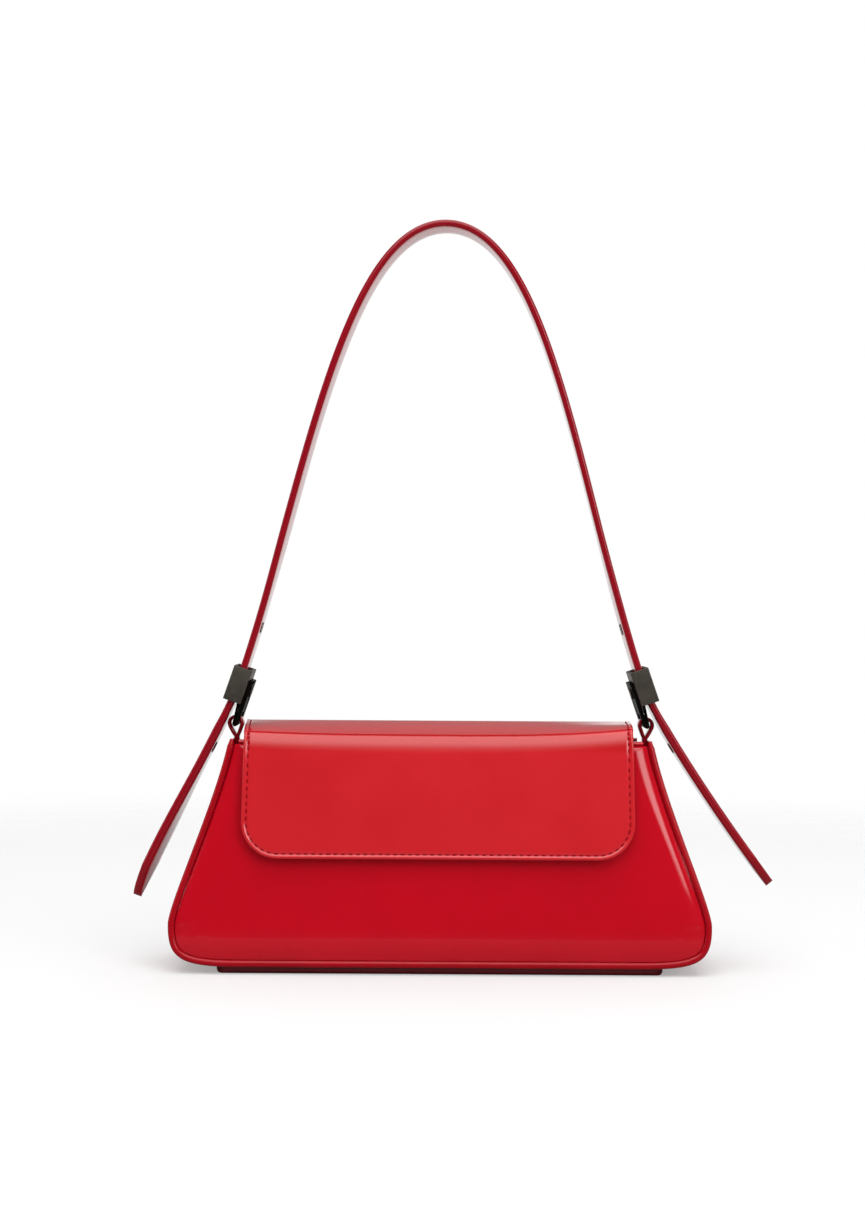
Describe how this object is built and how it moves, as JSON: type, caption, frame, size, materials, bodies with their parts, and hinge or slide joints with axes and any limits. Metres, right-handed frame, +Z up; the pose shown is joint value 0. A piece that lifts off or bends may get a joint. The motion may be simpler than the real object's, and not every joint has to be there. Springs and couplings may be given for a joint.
{
  "type": "baguette bag",
  "caption": "Small trapezoid shoulder bag with piped seams, a front flap on a magnetic snap, and a long strap through sleeve buckles.",
  "frame": {"origin": "middle of the base panel's underside, on the ground", "axes": "+Z up, the flap's front faces -Y, +X to the right of the front; the strap's right leg is at +X"},
  "size_m": [0.318, 0.062, 0.3705],
  "materials": {
    "body_leather": "gloss",
    "flap_leather": "gloss",
    "strap_leather": "gloss",
    "lining": "matte",
    "board": "matte",
    "gunmetal": "gloss",
    "bright_metal": "polished"
  },
  "bodies": {
    "bag": {"front_panel": "body_leather", "back_panel": "body_leather", "gusset": "body_leather", "piping_front": "body_leather", "piping_back": "body_leather", "base_panel": "body_leather", "base_board": "board", "front_board": "board", "back_board": "board", "lining": "lining", "facing_front": "body_leather", "facing_back": "body_leather", "slip_pocket": "lining", "tab_left": "body_leather", "tab_right": "body_leather", "snap_socket": "bright_metal", "snap_backplate_body": "bright_metal", "flap_back": "flap_leather"},
    "flap_band": {"flap_top": "flap_leather", "flap_top_lining": "lining"},
    "flap_drop": {"flap_front": "flap_leather", "flap_front_lining": "lining", "snap_stud": "bright_metal", "snap_backplate_flap": "bright_metal"},
    "strap": {"strap_outer": "strap_leather", "strap_lining": "strap_leather", "eyelets_left": "bright_metal", "eyelets_right": "bright_metal", "sleeve_left": "gunmetal", "sleeve_right": "gunmetal", "hanger_left": "gunmetal", "hanger_right": "gunmetal", "peg_left": "gunmetal", "peg_right": "gunmetal"}
  },
  "joints": [
    {"name": "flap_lift", "type": "hinge", "parent": "bag", "child": "flap_band", "pos_m": [0, 0.01729, 0.1187], "axis": [-1, 0, 0], "range_deg": [0, 15]},
    {"name": "flap_fold", "type": "hinge", "parent": "flap_band", "child": "flap_drop", "pos_m": [0, -0.02141, 0.1152], "axis": [-1, 0, 0], "range_deg": [0, 135]},
    {"name": "strap_lean", "type": "hinge", "parent": "bag", "child": "strap", "pos_m": [0, 0, 0.1202], "axis": [1, 0, 0], "range_deg": [-10, 10]}
  ]
}
